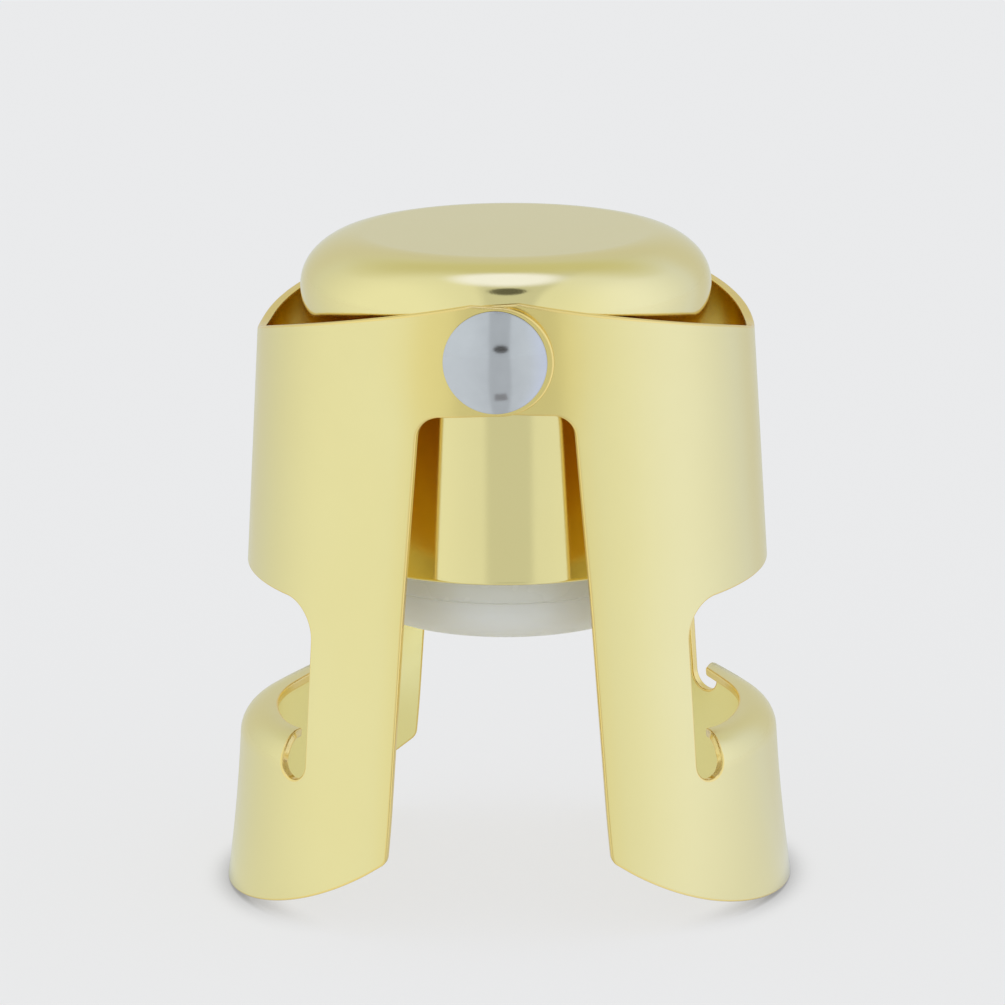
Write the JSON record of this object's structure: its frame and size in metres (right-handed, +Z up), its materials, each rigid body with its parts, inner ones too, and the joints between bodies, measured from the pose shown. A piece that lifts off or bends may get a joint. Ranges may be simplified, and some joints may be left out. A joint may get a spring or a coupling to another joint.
{
  "type": "bottle stopper",
  "caption": "Gold lever stopper for sparkling wine: a round-headed body with a sprung seal, and sheet arms that fold in to grip the bottle's neck.",
  "frame": {"origin": "on the floor, under the body's axis, with the stopper standing on its two arms", "axes": "+Z up along the body's axis; +X towards the right arm; -Y towards the front rivet"},
  "size_m": [0.0522, 0.0428, 0.0604],
  "materials": {
    "gold_casting": "polished pale gold plating",
    "gold_sheet": "satin pale gold plating",
    "rivet_steel": "bright nickel",
    "holder_plastic": "translucent natural",
    "seal_silicone": "translucent grey",
    "spring_steel": "drawn wire"
  },
  "bodies": {
    "body": {"body": "gold_casting", "front_rivet": "rivet_steel", "back_rivet": "rivet_steel", "spring": "spring_steel"},
    "left_arm": {"left_arm": "gold_sheet"},
    "right_arm": {"right_arm": "gold_sheet"},
    "plunger": {"plunger": "holder_plastic", "seal": "seal_silicone"}
  },
  "joints": [
    {"name": "right_arm_hinge", "type": "hinge", "parent": "body", "child": "right_arm", "pos_m": [0, 0, 0.0526], "axis": [0, -1, 0], "range_deg": [-12, 28]},
    {"name": "left_arm_hinge", "type": "hinge", "parent": "body", "child": "left_arm", "pos_m": [0, 0, 0.0526], "axis": [0, 1, 0], "range_deg": [-12, 28]},
    {"name": "plunger_slide", "type": "slide", "parent": "body", "child": "plunger", "axis": [0, 0, 1], "range_m": [0, 0.004], "stiffness_N_per_m": 2500, "springref_m": -0.002, "deforming": ["spring"]}
  ]
}
